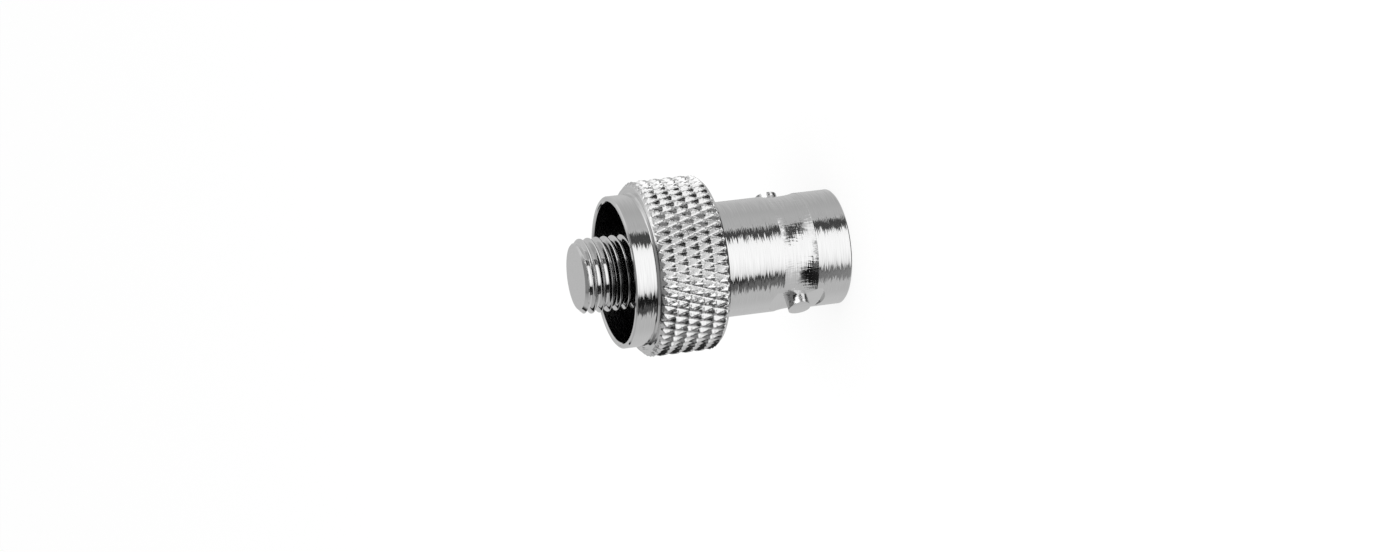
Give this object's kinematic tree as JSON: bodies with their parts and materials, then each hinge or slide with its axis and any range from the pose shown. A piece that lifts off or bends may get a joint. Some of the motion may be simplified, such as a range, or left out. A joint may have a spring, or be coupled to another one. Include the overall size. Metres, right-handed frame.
{
  "type": "coax adapter",
  "caption": "Rigid coax adapter: a bayonet jack on one end, and a threaded centre stud inside a cup ring with a knurled grip collar on the other.",
  "frame": {"origin": "centre of the jack's mouth, where the adapter stands", "axes": "+Z along the axis from the jack's mouth to the stud's end; X through the two bayonet lugs; Y across them"},
  "size_m": [0.0146, 0.0146, 0.0225],
  "materials": {
    "nickel_plate": "turned brass with bright nickel plate",
    "contact_plate": "turned copper alloy with bright plate",
    "white_insulator": "turned white fluoropolymer, satin",
    "grey_insulator": "moulded dark grey plastic, satin"
  },
  "bodies": {
    "root": {"jack_shell": "nickel_plate", "knurled_collar": "nickel_plate", "threaded_stud": "nickel_plate", "socket_contact": "contact_plate", "jack_dielectric": "white_insulator", "stud_insulator": "grey_insulator"}
  },
  "joints": []
}
